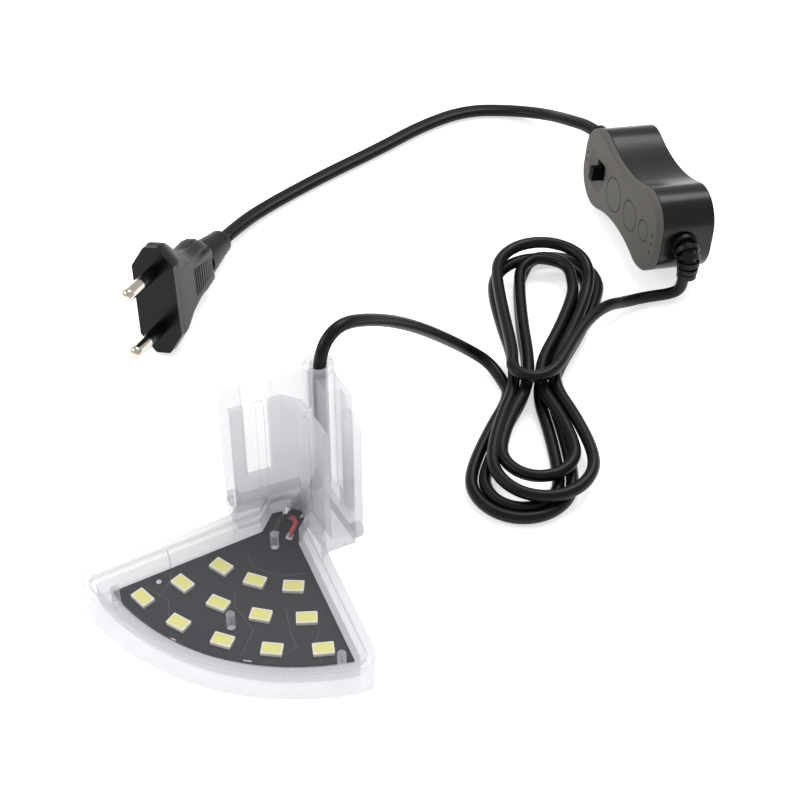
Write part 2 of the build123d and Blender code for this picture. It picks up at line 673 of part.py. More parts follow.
with BuildPart() as cover_screws:
    with BuildSketch(driver_plane(DRIVER_DEPTH - SCREW_GAP)):
        with Locations(SCREW_PLACES):
            Circle(SCREW_HEAD / 2)
    extrude(amount=SCREW_HEAD_DEPTH - SCREW_GAP)
    with BuildSketch(driver_plane(DRIVER_DEPTH - SCREW_GAP)):
        with Locations(SCREW_PLACES):
            Circle(SCREW_SHANK / 2)
    extrude(amount=SCREW_LENGTH)
    with BuildSketch(driver_plane(DRIVER_DEPTH - SCREW_GAP)):
        with Locations(SCREW_PLACES):
            Rectangle(2.8, 0.6)
            Rectangle(0.6, 2.8)
    extrude(amount=1.0, mode=Mode.SUBTRACT)
save(cover_screws, "cover_screws")

with BuildPart() as driver_board:
    with BuildSketch(driver_plane(DRIVER_BOARD_DEPTH)):
        add(driver_outline(DRIVER_WALL + DRIVER_BOARD_GAP))
        with Locations(SCREW_PLACES):
            Circle(SCREW_SHANK / 2 + SCREW_GAP, mode=Mode.SUBTRACT)
    extrude(amount=-DRIVER_BOARD)
save(driver_board, "driver_board")

with BuildPart() as transformer:
    with BuildSketch(driver_plane(board_back + SEAT_GAP)):
        with Locations(TRANSFORMER_PLACE):
            RectangleRounded(TRANSFORMER_SIZE[0], TRANSFORMER_SIZE[1], 1.0)
    extrude(amount=-TRANSFORMER_SIZE[2])
save(transformer, "transformer")

with BuildPart() as capacitor:
    centre = driver_plane(DRIVER_BOARD_DEPTH - SEAT_GAP - CAPACITOR_DIAMETER / 2).from_local_coords(
        Vector(CAPACITOR_PLACE[0] - CAPACITOR_LENGTH / 2, CAPACITOR_PLACE[1], 0)
    )
    with BuildSketch(Plane(origin=centre, z_dir=driver_long_dir)):
        Circle(CAPACITOR_DIAMETER / 2)
    extrude(amount=CAPACITOR_LENGTH)
save(capacitor, "capacitor")

knob_place = DISH_PLACE + KNOB_TRAVEL  # it is at the end of its travel nearer the lamp's cord
skirt_front = DRIVER_LID + SKIRT_GAP
switch_front = skirt_front + SKIRT_SIZE[2] + SKIRT_GAP
with BuildPart() as switch_body:
    with BuildSketch(driver_plane(DRIVER_BOARD_DEPTH - SEAT_GAP)):
        with Locations((DISH_PLACE, 0)):
            RectangleRounded(SWITCH_SIZE[0], SWITCH_SIZE[1], 0.5)
    extrude(amount=DRIVER_BOARD_DEPTH - SEAT_GAP - switch_front)
    with BuildSketch(driver_plane(switch_front)):
        with Locations((DISH_PLACE, 0)):
            Rectangle(STEM_SIZE[0] + 2 * (KNOB_TRAVEL + KNOB_GAP), STEM_SIZE[1] + 2 * KNOB_GAP)
    extrude(amount=-(STEM_REACH + KNOB_GAP), mode=Mode.SUBTRACT)
save(switch_body, "switch_body")

with BuildPart() as switch_knob:
    with BuildSketch(driver_plane(-KNOB_RISE)):
        with Locations((knob_place, 0)):
            RectangleRounded(KNOB_SIZE[0], KNOB_SIZE[1], 0.5)
    extrude(amount=-(KNOB_RISE + skirt_front))
    with BuildSketch(driver_plane(-KNOB_RISE)):
        with Locations([(knob_place - 0.6, 0), (knob_place + 0.6, 0)]):
            Rectangle(0.4, KNOB_SIZE[1] - 0.8)
    extrude(amount=-0.3, mode=Mode.SUBTRACT)
    with BuildSketch(driver_plane(skirt_front)):
        with Locations((knob_place, 0)):
            Rectangle(SKIRT_SIZE[0], SKIRT_SIZE[1])
    extrude(amount=-SKIRT_SIZE[2])
    with BuildSketch(driver_plane(skirt_front + SKIRT_SIZE[2])):
        with Locations((knob_place, 0)):
            Rectangle(*STEM_SIZE)
    extrude(amount=-(SKIRT_GAP + STEM_REACH))
save(switch_knob, "switch_knob")


def ribbed_taper(plane, radii, rib):
    """A strain relief along the plane's normal: one rib for each radius, with a groove after it."""
    with BuildPart() as relief:
        for number, radius in enumerate(radii):
            start = number * (rib + RIB_GROOVE)
            with BuildSketch(plane.offset(start)):
                Circle(radius)
            extrude(amount=rib)
            with BuildSketch(plane.offset(start + rib)):
                Circle(radius - RIB_GROOVE_DEPTH)
            extrude(amount=RIB_GROOVE)
    return relief.part


lamp_exit = end_plane(1)
droop_dir = Vector(*LAMP_RELIEF_DROOP)
droop_dir = (droop_dir - driver_long_dir * droop_dir.dot(driver_long_dir)).normalized()
lamp_relief_tip = (
    lamp_exit.origin + (driver_long_dir + droop_dir) * LAMP_RELIEF_BEND + droop_dir * LAMP_RELIEF_TAIL
)
with BuildPart() as lamp_relief:
    with BuildLine() as lamp_relief_line:
        FilletPolyline(
            lamp_exit.origin,
            lamp_exit.origin + driver_long_dir * LAMP_RELIEF_BEND,
            lamp_relief_tip,
            radius=LAMP_RELIEF_BEND - 0.2,
        )
    with BuildSketch(lamp_exit):
        Circle(LAMP_RELIEF_CORE)
    sweep(path=lamp_relief_line.wire())
    for number, radius in enumerate(LAMP_RELIEF_RADII):
        share = (number + 0.5) / len(LAMP_RELIEF_RADII)
        rib_plane = Plane(
            origin=lamp_relief_line.wire() @ share, z_dir=lamp_relief_line.wire() % share
        )
        with BuildSketch(rib_plane):
            Circle(radius)
        extrude(amount=RIB_LENGTH / 2, both=True)
    split(bisect_by=lamp_exit.offset(SEAT_GAP), keep=Keep.TOP)
    with BuildSketch(lamp_exit.offset(-COLLAR_REACH)):
        Circle(COLLAR_DIAMETER / 2)
    extrude(amount=COLLAR_REACH + RIB_LENGTH)
save(lamp_relief, "lamp_relief")

with BuildPart() as mains_relief:
    exit_plane = end_plane(-1)
    with BuildSketch(exit_plane.offset(-COLLAR_REACH)):
        Circle(COLLAR_DIAMETER / 2)
    extrude(amount=COLLAR_REACH + RIB_LENGTH)
    add(ribbed_taper(exit_plane.offset(SEAT_GAP), MAINS_RELIEF_RADII, PLUG_RIB))
save(mains_relief, "mains_relief")

# ------------------------------------------------------------------ plug
yaw, tilt, lean = (radians(value) for value in (PLUG_YAW, PLUG_TILT, PLUG_LEAN))
pin_dir = Vector(cos(yaw) * cos(tilt), sin(yaw) * cos(tilt), sin(tilt))
level_dir = pin_dir.cross(Vector(0, 0, 1)).normalized()
pair_dir = level_dir.cross(pin_dir) * cos(lean) + level_dir * sin(lean)
pin_places = [(-PIN_PITCH / 2, 0), (PIN_PITCH / 2, 0)]


def plug_plane(behind):
    """A plane this far behind the plug's face: its X runs from the lower pin to the upper one."""
    return Plane(origin=Vector(*PLUG_PLACE) - pin_dir * behind, x_dir=pair_dir, z_dir=pin_dir)


def plug_section(width, thickness):
    """The plug's six-sided outline at this width and thickness, as a flat sketch."""
    slope = PLUG_SLOPE * width / PLUG_WIDTH
    with BuildSketch() as section:
        with BuildLine():
            Polyline(
                (width / 2, PLUG_POINT),
                (width / 2 - slope, thickness / 2),
                (slope - width / 2, thickness / 2),
                (-width / 2, PLUG_POINT),
                (-width / 2, -PLUG_POINT),
                (slope - width / 2, -thickness / 2),
                (width / 2 - slope, -thickness / 2),
                (width / 2, -PLUG_POINT),
                close=True,
            )
        make_face()
        fillet(section.vertices(), 1.0)
    return section.sketch


with BuildPart() as plug_bridge:
    with BuildSketch(plug_plane(0)):
        add(plug_section(PLUG_WIDTH, PLUG_THICKNESS))
        with Locations(pin_places):
            Circle(PIN_CORE / 2 + PIN_FIT, mode=Mode.SUBTRACT)
    extrude(amount=-BRIDGE_THICKNESS)
save(plug_bridge, "plug_bridge")

with BuildPart() as plug_body:
    for behind, width, thickness in PLUG_SECTIONS:
        with BuildSketch(plug_plane(behind)):
            add(plug_section(width, thickness))
    loft()
    with BuildSketch(plug_plane(PLUG_SECTIONS[0][0])):
        with Locations(pin_places):
            Circle(PIN_CORE / 2 + PIN_FIT)
    extrude(amount=-(PIN_ROOT - BRIDGE_THICKNESS), mode=Mode.SUBTRACT)
save(plug_body, "plug_body")

with BuildPart() as plug_relief:
    away = plug_plane(PLUG_BODY + SEAT_GAP)
    add(ribbed_taper(Plane(origin=away.origin, z_dir=pin_dir * -1), PLUG_RELIEF_RADII, PLUG_RIB))
save(plug_relief, "plug_relief")

for name, place in zip(("lower", "upper"), pin_places):
    with BuildPart() as plug_pin:
        with BuildSketch(plug_plane(PIN_ROOT)):
            with Locations(place):
                Circle(PIN_CORE / 2)
        extrude(amount=PIN_ROOT + PIN_SLEEVE)
        with BuildSketch(plug_plane(-PIN_SLEEVE)):
            with Locations(place):
                Circle(PIN_DIAMETER / 2)
        extrude(amount=PIN_LENGTH - PIN_SLEEVE)
        tip = plug_pin.faces().sort_by(Axis(PLUG_PLACE, tuple(pin_dir)))[-1]
        fillet(tip.edges(), PIN_DIAMETER / 2 - 0.3)
    save(plug_pin, f"plug_pin_{name}")
    with BuildPart() as pin_sleeve:
        with BuildSketch(plug_plane(-SEAT_GAP)):
            with Locations(place):
                Circle(SLEEVE_DIAMETER / 2)
                Circle(PIN_CORE / 2 + PIN_FIT, mode=Mode.SUBTRACT)
        extrude(amount=PIN_SLEEVE - 2 * SEAT_GAP)
    save(pin_sleeve, f"pin_sleeve_{name}")

# ------------------------------------------------------------------ the free cords
tube_top = (*at(-tube_behind, tube_across), CLIP_HEIGHT + TUBE_RISE)
lamp_route = [(*tube_top[:2], CORD_JOIN), tube_top, *LAMP_ROUTE_TO_HANK]
lamp_cord = round_tube(lamp_route, bend_radii(lamp_route), LAMP_CORD)
save(lamp_cord, "lamp_cord")
lead_route = [*LAMP_ROUTE_TO_DRIVER, tuple(lamp_relief_tip - droop_dir * CORD_OVERLAP)]
lamp_cord_lead = round_tube(lead_route, [*bend_radii(lead_route)[:-1], LAMP_EXIT_BEND], LAMP_CORD)
save(lamp_cord_lead, "lamp_cord_lead")
mains_relief_length = len(MAINS_RELIEF_RADII) * (PLUG_RIB + RIB_GROOVE)
plug_relief_length = PLUG_BODY + len(PLUG_RELIEF_RADII) * (PLUG_RIB + RIB_GROOVE)
mains_route = [
    tuple(exit_plane.origin - driver_long_dir * (mains_relief_length - CORD_OVERLAP)),
    *MAINS_ROUTE,
    tuple(Vector(*PLUG_PLACE) - pin_dir * (plug_relief_length - CORD_OVERLAP)),
]
mains_cord = round_tube(mains_route, bend_radii(mains_route), MAINS_CORD)
save(mains_cord, "mains_cord")

with BuildPart() as lamp_cord_hank:
    for lobe_circles in HANK_LOBES:
        with BuildSketch():
            for x, y, radius in [*lobe_circles, HANK_WAIST]:
                with Locations((x, y)):
                    Circle(radius)
            make_hull()
        extrude(amount=HANK_HEIGHT)
    with BuildSketch():
        with Locations(HANK_WAIST[:2]):
            Circle(HANK_WAIST[2])
    extrude(amount=HANK_WAIST_HEIGHT)
save(lamp_cord_hank, "lamp_cord_hank")
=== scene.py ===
"""Looks for the clip-on LED aquarium light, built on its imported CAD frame.

The CAD pieces keep their places and get procedural finishes. The loose cords, the print on the circuit board
and the grip ribs of the plug are made here. The scene is in metres, +Z up, with the diodes facing up; lengths
named here are in mm, but for the camera, the lights, the table and the shaders, which are in metres.
"""

import json
import logging
from dataclasses import dataclass
from enum import Enum
from math import cos, pi, radians, sin

import bpy
from mathutils import Euler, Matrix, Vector

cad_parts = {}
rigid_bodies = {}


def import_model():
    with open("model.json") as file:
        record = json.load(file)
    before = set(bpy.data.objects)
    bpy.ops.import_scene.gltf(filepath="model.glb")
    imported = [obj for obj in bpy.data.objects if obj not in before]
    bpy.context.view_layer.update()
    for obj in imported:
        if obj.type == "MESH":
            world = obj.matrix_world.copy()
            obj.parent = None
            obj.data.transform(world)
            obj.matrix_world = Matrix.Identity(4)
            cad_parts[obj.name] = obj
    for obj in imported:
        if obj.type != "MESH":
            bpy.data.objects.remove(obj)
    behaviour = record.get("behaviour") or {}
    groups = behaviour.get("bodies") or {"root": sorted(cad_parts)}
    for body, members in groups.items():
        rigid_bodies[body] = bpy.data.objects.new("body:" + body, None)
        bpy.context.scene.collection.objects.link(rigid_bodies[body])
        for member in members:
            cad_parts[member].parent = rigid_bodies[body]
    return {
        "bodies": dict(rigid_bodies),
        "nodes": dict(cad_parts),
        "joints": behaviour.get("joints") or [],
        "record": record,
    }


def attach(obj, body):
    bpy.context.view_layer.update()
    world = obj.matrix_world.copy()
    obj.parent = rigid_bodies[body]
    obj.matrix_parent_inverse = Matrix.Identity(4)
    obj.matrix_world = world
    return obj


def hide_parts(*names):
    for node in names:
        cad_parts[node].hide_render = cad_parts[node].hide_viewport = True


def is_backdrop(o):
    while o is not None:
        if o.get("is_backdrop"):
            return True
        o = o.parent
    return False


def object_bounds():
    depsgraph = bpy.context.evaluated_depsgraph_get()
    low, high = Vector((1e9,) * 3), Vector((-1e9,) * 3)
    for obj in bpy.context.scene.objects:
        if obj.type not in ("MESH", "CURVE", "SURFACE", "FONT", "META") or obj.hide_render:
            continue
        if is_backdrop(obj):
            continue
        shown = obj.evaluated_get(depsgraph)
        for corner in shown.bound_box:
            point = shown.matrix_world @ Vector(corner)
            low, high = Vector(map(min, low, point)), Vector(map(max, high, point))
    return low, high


LOG = logging.getLogger("aquarium_light")
MM = 0.001
Point = tuple[float, float, float]


class Slot(Enum):
    """The material slots of the part's record."""

    CLEAR = "clear_plastic"
    BOARD = "board_mask"
    DIODE = "diode_body"
    PHOSPHOR = "phosphor"
    SOLDER = "solder"
    RED = "red_insulation"
    BLACK = "black_insulation"
    JACKET = "cord_jacket"
    CASE = "case_black"
    COVER = "cover_grey"
    SCREW = "screw_steel"
    LAMINATE = "driver_laminate"
    TAPE = "transformer_tape"
    CAN = "capacitor_can"
    SHELL = "switch_shell"
    KNOB = "knob_black"
    RELIEF = "relief_rubber"
    PLUG = "plug_grey"
    FACE = "plug_face"
    PIN = "pin_nickel"


@dataclass(frozen=True)
class Finish:
    """A surface: its colour, how it shines, and how much its grain and speckle vary it.

    Attributes:
        color: Linear base colour.
        roughness: Mean roughness.
        metallic: 1 for bare metal.
        specular: Specular level of a plastic or rubber.
        coat: Weight of a clear coat, for moulded gloss.
        spread: How far roughness varies either way.
        tint: How far the colour varies, as a share.
        grain: Strength of the fine surface relief.
        scale: Fineness of the grain, in features per metre.
        edge: Radius that the shading rounds edges with, in metres.
    """

    color: tuple[float, float, float]
    roughness: float
    metallic: float = 0.0
    specular: float = 0.5
    coat: float = 0.0
    spread: float = 0.04
    tint: float = 0.06
    grain: float = 0.05
    scale: float = 1500.0
    edge: float = 0.0003


@dataclass(frozen=True)
class ClearFinish:
    """A see-through moulding that turns milky where it is seen edge-on.

    Attributes:
        color: Linear colour of its haze.
        roughness: Roughness of its surface.
        face: Opacity where it is seen square on.
        rim: Opacity where it is seen edge-on.
        falloff: How soon the rim's opacity starts.
    """

    color: tuple[float, float, float]
    roughness: float
    face: float
    rim: float
    falloff: float = 0.35


FINISHES: dict[Slot, Finish] = {
    Slot.BOARD: Finish((0.006, 0.007, 0.010), 0.40, specular=0.16, tint=0.2, grain=0.03, scale=900),
    Slot.DIODE: Finish((0.80, 0.79, 0.66), 0.35, specular=0.3, edge=0.0001),
    Slot.PHOSPHOR: Finish((0.76, 0.72, 0.24), 0.5, specular=0.2, tint=0.04, edge=0.0001),
    Slot.SOLDER: Finish((0.72, 0.71, 0.70), 0.32, metallic=1.0, grain=0.3, scale=2500),
    Slot.RED: Finish((0.50, 0.035, 0.025), 0.4),
    Slot.BLACK: Finish((0.012, 0.012, 0.012), 0.4),
    Slot.JACKET: Finish((0.0035, 0.0035, 0.004), 0.36, specular=0.20, grain=0.06, scale=2600, edge=0.0002),
    Slot.CASE: Finish(
        (0.0025, 0.0025, 0.0035), 0.26, specular=0.30, coat=0.08, spread=0.05, grain=0.02, edge=0.0006
    ),
    Slot.COVER: Finish((0.100, 0.094, 0.087), 0.60, specular=0.15, grain=0.10, scale=4000, edge=0.0003),
    Slot.SCREW: Finish((0.45, 0.45, 0.46), 0.35, metallic=1.0),
    Slot.LAMINATE: Finish((0.30, 0.22, 0.09), 0.5),
    Slot.TAPE: Finish((0.62, 0.48, 0.06), 0.4),
    Slot.CAN: Finish((0.012, 0.02, 0.09), 0.3),
    Slot.SHELL: Finish((0.02, 0.02, 0.02), 0.5),
    Slot.KNOB: Finish((0.001, 0.001, 0.001), 0.5, specular=0.08, edge=0.0002),
    Slot.RELIEF: Finish((0.0035, 0.0035, 0.0035), 0.38, specular=0.22, edge=0.0003),
    Slot.PLUG: Finish((0.016, 0.015, 0.014), 0.42, specular=0.28, grain=0.08, scale=3500, edge=0.0006),
    Slot.FACE: Finish((0.0025, 0.0025, 0.0025), 0.25, specular=0.2, coat=0.04, edge=0.0004),
    Slot.PIN: Finish((0.62, 0.57, 0.50), 0.14, metallic=1.0, grain=0.03, edge=0.0002),
}
CLEAR_FINISH = ClearFinish((0.60, 0.60, 0.64), 0.14, face=0.22, rim=0.76)
COVER_FINISH = ClearFinish((0.60, 0.60, 0.64), 0.10, face=0.012, rim=0.35, falloff=0.2)
TRACE_FINISH = Finish((0.06, 0.062, 0.07), 0.35, specular=0.2, edge=0.0)
MARK_FINISH = Finish((0.55, 0.56, 0.58), 0.6, edge=0.0)

NODE_SLOTS: dict[Slot, tuple[str, ...]] = {
    Slot.BOARD: ("led_board",),
    Slot.DIODE: tuple(f"led_package_{n:02d}" for n in range(1, 13)),
    Slot.PHOSPHOR: ("led_phosphors",),
    Slot.SOLDER: ("solder_pads",),
    Slot.RED: ("red_wire",),
    Slot.BLACK: ("black_wire",),
    Slot.JACKET: ("inner_cord",),
    Slot.CASE: ("driver_case",),
    Slot.COVER: ("driver_cover",),
    Slot.SCREW: ("cover_screws",),
    Slot.LAMINATE: ("driver_board",),
    Slot.TAPE: ("transformer",),
    Slot.CAN: ("capacitor",),
    Slot.SHELL: ("switch_body",),
    Slot.KNOB: ("switch_knob",),
    Slot.RELIEF: ("lamp_relief", "mains_relief", "plug_relief"),
    Slot.PLUG: ("plug_body",),
    Slot.FACE: ("plug_bridge", "pin_sleeve_lower", "pin_sleeve_upper"),
    Slot.PIN: ("plug_pin_lower", "plug_pin_upper"),
}


@dataclass(frozen=True)
class Turn:
    """One turn of the tied hank, from its waist round the near lobe and then the far one.

    Attributes:
        inset: How far inside the outermost turn it lies, in mm, before and after it changes place.
        height: Height of its centre-line, in mm, before and after it changes place.
        change: Where on the far lobe it changes place, counted in points of that lobe's arc.
        drift: How far its lobes are pulled in along the hank, in mm.
        swing: Angle that its near and far lobe are turned by about the waist, in degrees.
    """

    inset: tuple[float, float]
    height: tuple[float, float]
    change: float
    drift: tuple[float, float] = (0.0, 0.0)
    swing: tuple[float, float] = (0.0, 0.0)


@dataclass(frozen=True)
class Lobe:
    """One end of the hank, as seen from its waist.

    Attributes:
        tip: Farthest point of the outermost turn, in mm.
        radius: Radius of the outermost turn, in mm.
    """

    tip: tuple[float, float]
    radius: float


# The lamp's cord: its thickness and its hank.
CORD = 3.7
WAIST = (47.5, 95.0)
WAIST_HALF = 6.1
NEAR_LOBE = Lobe((59.5, 40.5), 15.0)
FAR_LOBE = Lobe((38.0, 155.6), 15.0)
ARC_ANGLES = (-104, -70, -35, 0, 35, 70, 104)
WAIST_REACH = 6.0
FOOT_SHARE = 0.55
TURNS = (
    Turn((0.0, 4.05), (1.95, 1.95), 4.5),
    Turn((4.05, 4.05), (1.95, 5.85), 2.9),
    Turn((4.05, 0.0), (5.85, 5.85), 1.6, drift=(9.0, 6.0), swing=(7.0, 5.0)),
    Turn((0.0, 0.0), (5.85, 9.8), 0.4, drift=(5.0, 2.5), swing=(9.0, 4.0)),
)
LAMP_START: tuple[Point, ...] = (
    (2.6, 37.1, 37.0),
    (2.6, 37.1, 46.4),
    (3.4, 40.9, 52.2),
    (6.0, 46.3, 54.2),
    (9.6, 54.4, 50.0),
    (13.8, 65.0, 42.0),
    (18.0, 76.5, 31.0),
    (22.0, 87.5, 19.0),
    (26.3, 96.6, 8.2),
    (32.5, 98.6, 3.2),
    (38.4, 93.6, 2.0),
)
LAMP_END: tuple[Point, ...] = (
    (40.2, 98.0, 9.9),
    (42.0, 90.2, 10.2),
    (49.6, 88.6, 10.3),
    (54.6, 95.0, 10.0),
    (55.4, 108.0, 9.9),
    (57.0, 120.0, 9.8),
    (60.6, 130.4, 8.4),
    (64.0, 138.8, 3.6),
    (69.0, 145.2, 1.95),
    (78.6, 150.2, 2.6),
    (79.9, 150.1, 7.6),
    (79.75, 149.95, 11.4),
)
MAINS_LINE: tuple[Point, ...] = (
    (35.6, 210.7, 12.4),
    (31.5, 215.0, 11.6),
    (22.6, 220.0, 9.0),
    (12.5, 226.8, 4.6),
    (-1.5, 228.6, 1.7),
    (-16.0, 223.4, 1.6),
    (-27.4, 209.5, 1.6),
    (-37.2, 191.0, 1.6),
    (-49.0, 171.5, 1.6),
    (-60.2, 150.4, 1.6),
    (-65.2, 137.0, 2.2),
    (-66.8, 123.2, 4.1),
)
MAINS_WIDTH = 5.0
MAINS_THICKNESS = 3.0
SECTION_POINTS = 16

BOARD_TOP = 3.3
PRINT_RISE = 0.012
TRACE_HALF_WIDTH = 0.09
ARC_CENTRE_Y = 29.1
# Outlines as distances from the middle of the diode rows and to the right.
TRACES: tuple[tuple[tuple[float, float], ...], ...] = (
    ((33.0, -27.2), (37.0, -24.4), (43.0, -21.6), (52.0, -22.6)),
    ((50.0, -33.0), (47.5, -26.5), (49.0, -19.5), (57.6, -15.0)),
    ((40.0, -4.0), (45.0, -2.0), (51.0, 6.0), (60.0, 6.4)),
    ((41.0, 11.0), (50.0, 16.5), (52.6, 19.0), (60.4, 13.4)),
    ((26.0, -6.6), (31.0, -2.2), (31.2, 6.0), (28.0, 12.0)),
    ((46.0, 22.5), (52.0, 23.6), (55.0, 27.0)),
)
# Marks by place, as above, and their length and width.
MARKS: tuple[tuple[float, float, float, float], ...] = (
    (61.3, -12.6, 1.6, 0.35),
    (61.4, 8.6, 2.2, 0.35),
    (61.2, 17.0, 3.4, 0.5),
    (61.0, 22.0, 2.6, 0.6),
    (61.0, 26.2, 1.8, 0.5),
    (61.3, -24.0, 1.8, 0.3),
    (44.4, -24.6, 1.5, 1.5),
)
PLUG_CENTRE = Vector((-66.0, 75.8, 17.5))
PLUG_YAW, PLUG_TILT, PLUG_LEAN = radians(-89.0), radians(15.7), radians(9.3)
GRIP_START, GRIP_STEP, GRIP_COUNT = 16.0, 1.7, 8
GRIP_LENGTH, GRIP_WIDTH, GRIP_RISE = 9.0, 0.8, 0.22
GRIP_SHORTER, GRIP_SINK, GRIP_BEVEL = 0.35, -0.4, 0.25
# Half thickness of the plug, at three distances behind its face.
PLUG_HALVES = ((12.0, 6.5), (19.0, 6.2), (31.0, 5.5))

CAMERA_PLACE = (0.1504, -0.3118, 0.3928)
CAMERA_TARGET = (0.01285, 0.0737, 0.0033)
LENS = 85.73
SENSOR = 36.0
CLIP_NEAR, CLIP_FAR = 0.01, 20.0

EDGE_SAMPLES = 4
CLEAR_EDGE = 0.0004
CLEAR_IOR = 1.5
COAT_ROUGHNESS = 0.12
RELIEF_DEPTH = 0.0001
CLOUD_SCALE = 60.0
WHITE = (1.0, 1.0, 1.0, 1.0)
TABLE_HALF, TABLE_HEIGHT, TABLE_GLOW = 6.0, -0.0004, 0.55
SURROUND_STRENGTH = 0.62
LIGHT_TARGET = (0.0, 0.08, 0.0)


class Shaders:
    """The shared node groups and the materials made from them."""

    def __init__(self) -> None:
        """Makes the two node groups."""
        self.surface = self._surface_group()
        self.haze = self._haze_group()

    @staticmethod
    def _socket(
        group: bpy.types.NodeTree, name: str, kind: str, out: bool, value: float | None = None
    ) -> None:
        """Adds a socket to a node group.

        Args:
            group: The node group.
            name: Name of the socket.
            kind: Float, Vector or Color.
            out: True for an output.
            value: Default of a float input.
        """
        socket = group.interface.new_socket(
            name=name, in_out="OUTPUT" if out else "INPUT", socket_type=f"NodeSocket{kind}"
        )
        if value is not None:
            socket.default_value = value

    def _surface_group(self) -> bpy.types.NodeTree:
        """The group that varies a surface's colour, roughness and normal.

        Returns:
            The node group.
        """
        group = bpy.data.node_groups.new("surface_variation", "ShaderNodeTree")
        for name, value in (("Roughness", 0.4), ("Spread", 0.05), ("Tint", 0.05), ("Grain", 0.1)):
            self._socket(group, name, "Float", False, value)
        for name, value in (("Scale", 1500.0), ("Edge", 0.0003)):
            self._socket(group, name, "Float", False, value)
        self._socket(group, "Base", "Color", False)
        for name, kind in (("Color", "Color"), ("Roughness", "Float"), ("Normal", "Vector")):
            self._socket(group, name, kind, True)
        nodes, link = group.nodes, group.links.new
        inputs, outputs = nodes.new("NodeGroupInput"), nodes.new("NodeGroupOutput")
        place = nodes.new("ShaderNodeTexCoord")
        cloud = nodes.new("ShaderNodeTexNoise")
        cloud.inputs["Scale"].default_value = CLOUD_SCALE
        cloud.inputs["Detail"].default_value = 5.0
        link(place.outputs["Object"], cloud.inputs["Vector"])
        fine = nodes.new("ShaderNodeTexNoise")
        fine.inputs["Detail"].default_value = 2.0
        link(place.outputs["Object"], fine.inputs["Vector"])
        link(inputs.outputs["Scale"], fine.inputs["Scale"])
        centred = nodes.new("ShaderNodeMath")
        centred.operation = "SUBTRACT"
        centred.inputs[1].default_value = 0.5
        link(cloud.outputs["Fac"], centred.inputs[0])
        swing = nodes.new("ShaderNodeMath")
        swing.operation = "MULTIPLY_ADD"
        link(centred.outputs[0], swing.inputs[0])
        link(inputs.outputs["Spread"], swing.inputs[1])
        link(inputs.outputs["Roughness"], swing.inputs[2])
        link(swing.outputs[0], outputs.inputs["Roughness"])
        shade = nodes.new("ShaderNodeMath")
        shade.operation = "MULTIPLY_ADD"
        shade.inputs[2].default_value = 1.0
        link(centred.outputs[0], shade.inputs[0])
        link(inputs.outputs["Tint"], shade.inputs[1])
        colour = nodes.new("ShaderNodeHueSaturation")
        link(shade.outputs[0], colour.inputs["Value"])
        link(inputs.outputs["Base"], colour.inputs["Color"])
        link(colour.outputs["Color"], outputs.inputs["Color"])
        edge = nodes.new("ShaderNodeBevel")
        edge.samples = EDGE_SAMPLES
        link(inputs.outputs["Edge"], edge.inputs["Radius"])
        relief = nodes.new("ShaderNodeBump")
        relief.inputs["Distance"].default_value = RELIEF_DEPTH
        link(fine.outputs["Fac"], relief.inputs["Height"])
        link(inputs.outputs["Grain"], relief.inputs["Strength"])
        link(edge.outputs["Normal"], relief.inputs["Normal"])
        link(relief.outputs["Normal"], outputs.inputs["Normal"])
        return group

    def _haze_group(self) -> bpy.types.NodeTree:
        """The group that turns how edge-on a clear moulding is seen into its opacity.

        Returns:
            The node group.
        """
        group = bpy.data.node_groups.new("edge_haze", "ShaderNodeTree")
        for name, value in (("Facing", 0.0), ("Face", 0.2), ("Rim", 0.7)):
            self._socket(group, name, "Float", False, value)
        self._socket(group, "Opacity", "Float", True)
        self._socket(group, "Normal", "Vector", True)
        nodes, link = group.nodes, group.links.new
        inputs, outputs = nodes.new("NodeGroupInput"), nodes.new("NodeGroupOutput")
        edge = nodes.new("ShaderNodeBevel")
        edge.samples = EDGE_SAMPLES
        edge.inputs["Radius"].default_value = CLEAR_EDGE
        span = nodes.new("ShaderNodeMapRange")
        link(inputs.outputs["Facing"], span.inputs["Value"])
        link(inputs.outputs["Face"], span.inputs["To Min"])
        link(inputs.outputs["Rim"], span.inputs["To Max"])
        link(span.outputs["Result"], outputs.inputs["Opacity"])
        link(edge.outputs["Normal"], outputs.inputs["Normal"])
        return group

    def solid(self, name: str, finish: Finish) -> bpy.types.Material:
        """Makes an opaque material.

        Args:
            name: Name of the material.
            finish: Its finish.

        Returns:
            The material.
        """
        material = bpy.data.materials.new(name)
        material.use_nodes = True
        nodes, link = material.node_tree.nodes, material.node_tree.links.new
        bsdf = nodes["Principled BSDF"]
        bsdf.inputs["Metallic"].default_value = finish.metallic
        bsdf.inputs["Specular IOR Level"].default_value = finish.specular
        bsdf.inputs["Coat Weight"].default_value = finish.coat
        bsdf.inputs["Coat Roughness"].default_value = COAT_ROUGHNESS
        vary = nodes.new("ShaderNodeGroup")
        vary.node_tree = self.surface
        vary.inputs["Base"].default_value = (*finish.color, 1.0)
        vary.inputs["Roughness"].default_value = finish.roughness
        vary.inputs["Spread"].default_value = finish.spread * 2
        vary.inputs["Tint"].default_value = finish.tint * 2
        vary.inputs["Grain"].default_value = finish.grain
        vary.inputs["Scale"].default_value = finish.scale
        vary.inputs["Edge"].default_value = finish.edge
        link(vary.outputs["Color"], bsdf.inputs["Base Color"])
        link(vary.outputs["Roughness"], bsdf.inputs["Roughness"])
        link(vary.outputs["Normal"], bsdf.inputs["Normal"])
        material.diffuse_color = (*finish.color, 1.0)
        return material

